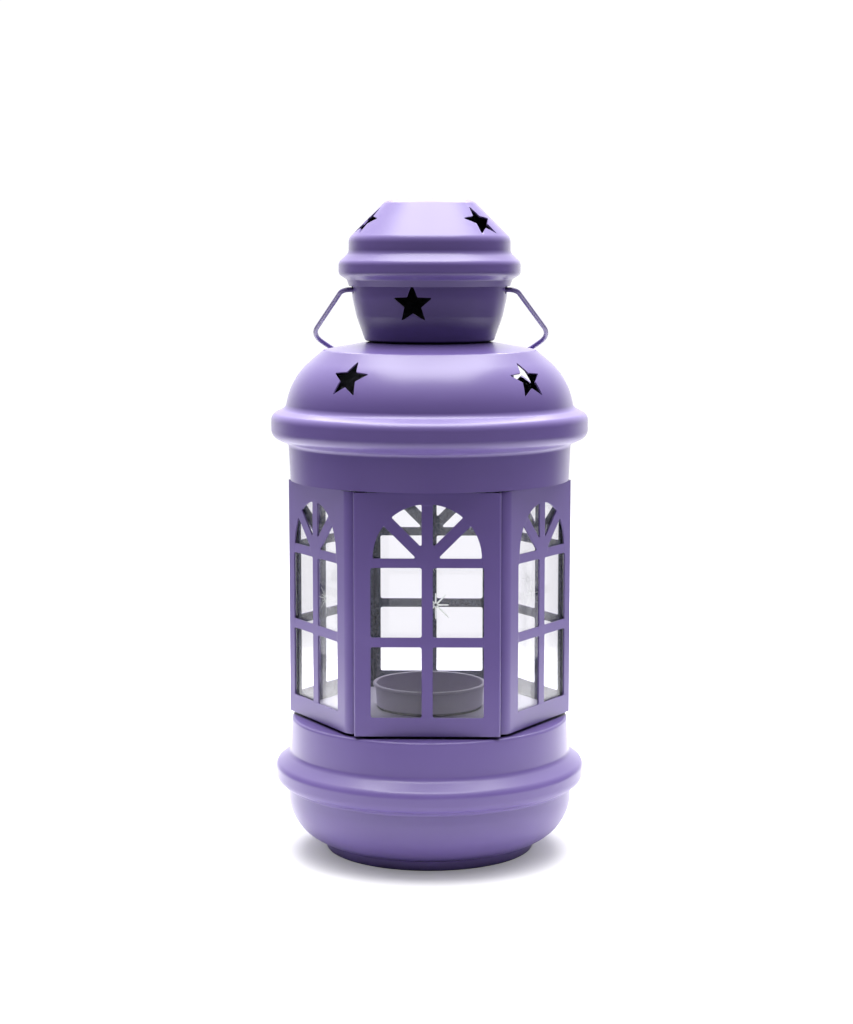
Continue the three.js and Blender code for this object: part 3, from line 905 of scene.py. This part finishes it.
cap_low = size_of("chimney_cap")[0].z
cap = turned("chimney_cap", [
    (28.6, 0),
    (29.4, 2.4, 1),
    (32.3, 4.1, 2.2),
    (32.3, 8.4, 2.4),
    (28.7, 11.7, 2.5),
    (28.7, 16.8, 3.5),
    (15.1, 30.4, 5),
    (0, 30.4),
])
cap_stars = [(-73.5, 22.5), (51.8, 22.5), (170, 22.5)]
cut(cap, star_punches(cap_stars, cap_low, 7, 22.8, 45))
finish(cap, "chimney_cap", "housing", ROOFING)

# ---- Bail ----


def wire(name, path, radius, sides=20):
    """Round wire along a smooth path, with rounded ends."""
    bm = bmesh.new()
    plane = (path[2] - path[0]).cross(path[len(path) // 2] - path[0]).normalized()
    rings = []
    last = len(path) - 1
    ease = [(-radius, 0.05), (-radius * 0.8, 0.6), (-radius * 0.4, 0.92)]
    for i, point in enumerate(path):
        tangent = (path[min(i + 1, last)] - path[max(i - 1, 0)]).normalized()
        side = plane.cross(tangent).normalized()
        sections = [(0, 1)]
        if i == 0:
            sections = ease + sections
        if i == last:
            sections = sections + [(-back, share) for back, share in ease[::-1]]
        for shift, share in sections:
            centre = point + tangent * (shift + (radius if shift < 0 and i == 0 else 0))
            ring = []
            for k in range(sides):
                angle = 2 * math.pi * k / sides
                spoke = side * math.cos(angle) + plane * math.sin(angle)
                ring.append(bm.verts.new(centre + spoke * radius * share))
            rings.append(ring)
    for low, high in zip(rings, rings[1:]):
        for k in range(sides):
            bm.faces.new((low[k], low[(k + 1) % sides], high[(k + 1) % sides], high[k]))
    bm.faces.new(rings[0])
    bm.faces.new(rings[-1][::-1])
    return new_piece(name, bm)


half = [
    (24, -2.9),
    (24, 0, 1.2),
    (30.7, 0, 4),
    (43.6, 34.5, 13),
    (36.4, 46.2, 10),
]
bail_line = rounded([*half, (0, 72.5, 6), *[(-x, *rest) for x, *rest in half[::-1]]], math.radians(5))
back = Vector((0, math.cos(BAIL_REST_ANGLE), -math.sin(BAIL_REST_ANGLE)))
bail_path = [pivot + Vector((p.x, 0, 0)) + back * p.y for p in bail_line]
finish(wire("bail_handle_wire", bail_path, WIRE_RADIUS), "bail_handle", "bail", (wire_paint,))

# ---- Studio ----


def studio_floor():
    """A round pale floor that fades into the background: slowly and from a faint start to the eye, and
    close round the lantern, in an oval, for light that bounces."""
    bm = bmesh.new()
    bmesh.ops.create_circle(bm, cap_ends=True, segments=96, radius=1400)
    floor = new_piece("studio_floor", bm)
    n = Nodes("pale_floor")
    n.shade(Base_Color=n.blend(n.noise(40), rgb(0.86, 0.86, 0.865), rgb(0.88, 0.88, 0.885)), Roughness=0.9)
    reach = n.add("VectorMath", operation="LENGTH")
    n.set(reach.inputs[0], n.place)
    wide = n.spread(reach.outputs["Value"], 0.5, 1.2, 0.18, 1)
    oval = n.add("VectorMath", {0: n.place, 1: (0.7, 1, 1), 2: (0, -0.05, 0)}, operation="MULTIPLY_ADD")
    away = n.add("VectorMath", {0: oval.outputs["Vector"]}, operation="LENGTH")
    close = n.spread(away.outputs["Value"], 0.2, 0.36, 0, 1)
    fade = n.blend(n.add("LightPath").outputs["Is Camera Ray"], close, wide)
    clear = n.add("BsdfTransparent")
    mix = n.add("MixShader")
    n.set(mix.inputs[0], fade)
    n.set(mix.inputs[1], n.shader.outputs[0])
    n.set(mix.inputs[2], clear.outputs[0])
    n.set(n.output.inputs["Surface"], mix.outputs[0])
    floor.data.materials.append(n.material)
    floor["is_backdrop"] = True


def surroundings():
    """White all round to the eye. As light it is bright behind and above the lantern, dim before it, and
    faintly bright below, as a pale floor is."""
    world = bpy.data.worlds.new("studio")
    bpy.context.scene.world = world
    world.use_nodes = True
    tree = world.node_tree
    light = tree.nodes["Background"]
    light.inputs["Color"].default_value = (1, 1, 1, 1)
    white = tree.nodes.new("ShaderNodeBackground")
    white.inputs["Color"].default_value = (1, 1, 1, 1)
    white.inputs["Strength"].default_value = 1.05
    direction = tree.nodes.new("ShaderNodeSeparateXYZ")
    generated = tree.nodes.new("ShaderNodeTexCoord").outputs["Generated"]
    tree.links.new(generated, direction.inputs[0])

    def ramp(source, low, high, to_low, to_high):
        node = tree.nodes.new("ShaderNodeMapRange")
        node.interpolation_type = "SMOOTHSTEP"
        tree.links.new(source, node.inputs["Value"])
        for name, value in (("From Min", low), ("From Max", high), ("To Min", to_low), ("To Max", to_high)):
            node.inputs[name].default_value = value
        return node.outputs["Result"]

    tilt = tree.nodes.new("ShaderNodeVectorMath")
    tilt.operation = "DOT_PRODUCT"
    tilt.inputs[1].default_value = (0, 0.35, 0.937)
    tree.links.new(generated, tilt.inputs[0])
    wall = ramp(direction.outputs["Y"], 0.4, 0.92, 0.05, 1.7)
    ceiling = ramp(tilt.outputs["Value"], 0.1, 0.95, 0.0, 1.7)
    ground = ramp(direction.outputs["Z"], -0.6, -0.15, 0.35, 0.0)
    strength = wall
    for other in (ceiling, ground):
        most = tree.nodes.new("ShaderNodeMath")
        most.operation = "MAXIMUM"
        tree.links.new(strength, most.inputs[0])
        tree.links.new(other, most.inputs[1])
        strength = most.outputs[0]
    tree.links.new(strength, light.inputs["Strength"])
    path = tree.nodes.new("ShaderNodeLightPath")
    seen = tree.nodes.new("ShaderNodeMath")
    seen.operation = "MAXIMUM"
    tree.links.new(path.outputs["Is Camera Ray"], seen.inputs[0])
    tree.links.new(path.outputs["Is Transmission Ray"], seen.inputs[1])
    mix = tree.nodes.new("ShaderNodeMixShader")
    tree.links.new(seen.outputs[0], mix.inputs[0])
    tree.links.new(light.outputs[0], mix.inputs[1])
    tree.links.new(white.outputs[0], mix.inputs[2])
    tree.links.new(mix.outputs[0], tree.nodes["World Output"].inputs["Surface"])


def softbox(name, place, target, width, height, radiance):
    """A rectangular lamp of a given brightness, turned to a point."""
    lamp = bpy.data.lights.new(name, "AREA")
    lamp.shape = "RECTANGLE"
    lamp.size = width
    lamp.size_y = height
    lamp.energy = radiance * math.pi * width * height
    box = bpy.data.objects.new(name, lamp)
    bpy.context.scene.collection.objects.link(box)
    box.location = place
    box.rotation_euler = (Vector(target) - Vector(place)).to_track_quat("-Z", "Y").to_euler()


def camera():
    """A long lens a little above the lantern and a degree to its right."""
    distance = 0.784
    height = 0.215
    round_deg = 1.05
    pitch_deg = 6.78
    aim_deg = 0.08  # the lantern stands this far right of the middle
    lens = bpy.data.cameras.new("camera")
    lens.lens = 77.24
    lens.sensor_width = 36
    eye = bpy.data.objects.new("camera", lens)
    bpy.context.scene.collection.objects.link(eye)
    turn = math.radians(round_deg)
    eye.location = (distance * math.sin(turn), -distance * math.cos(turn), height)
    eye.rotation_euler = (math.radians(90 - pitch_deg), 0, turn + math.radians(aim_deg))
    bpy.context.scene.camera = eye


studio_floor()
surroundings()
middle = (cad_low + cad_high) / 2
softbox("overhead_softbox", (0, 0.3, 1.2), middle, width=1.05, height=1.6, radiance=9.3)
camera()
bpy.context.scene.view_settings.view_transform = "Standard"

low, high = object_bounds()
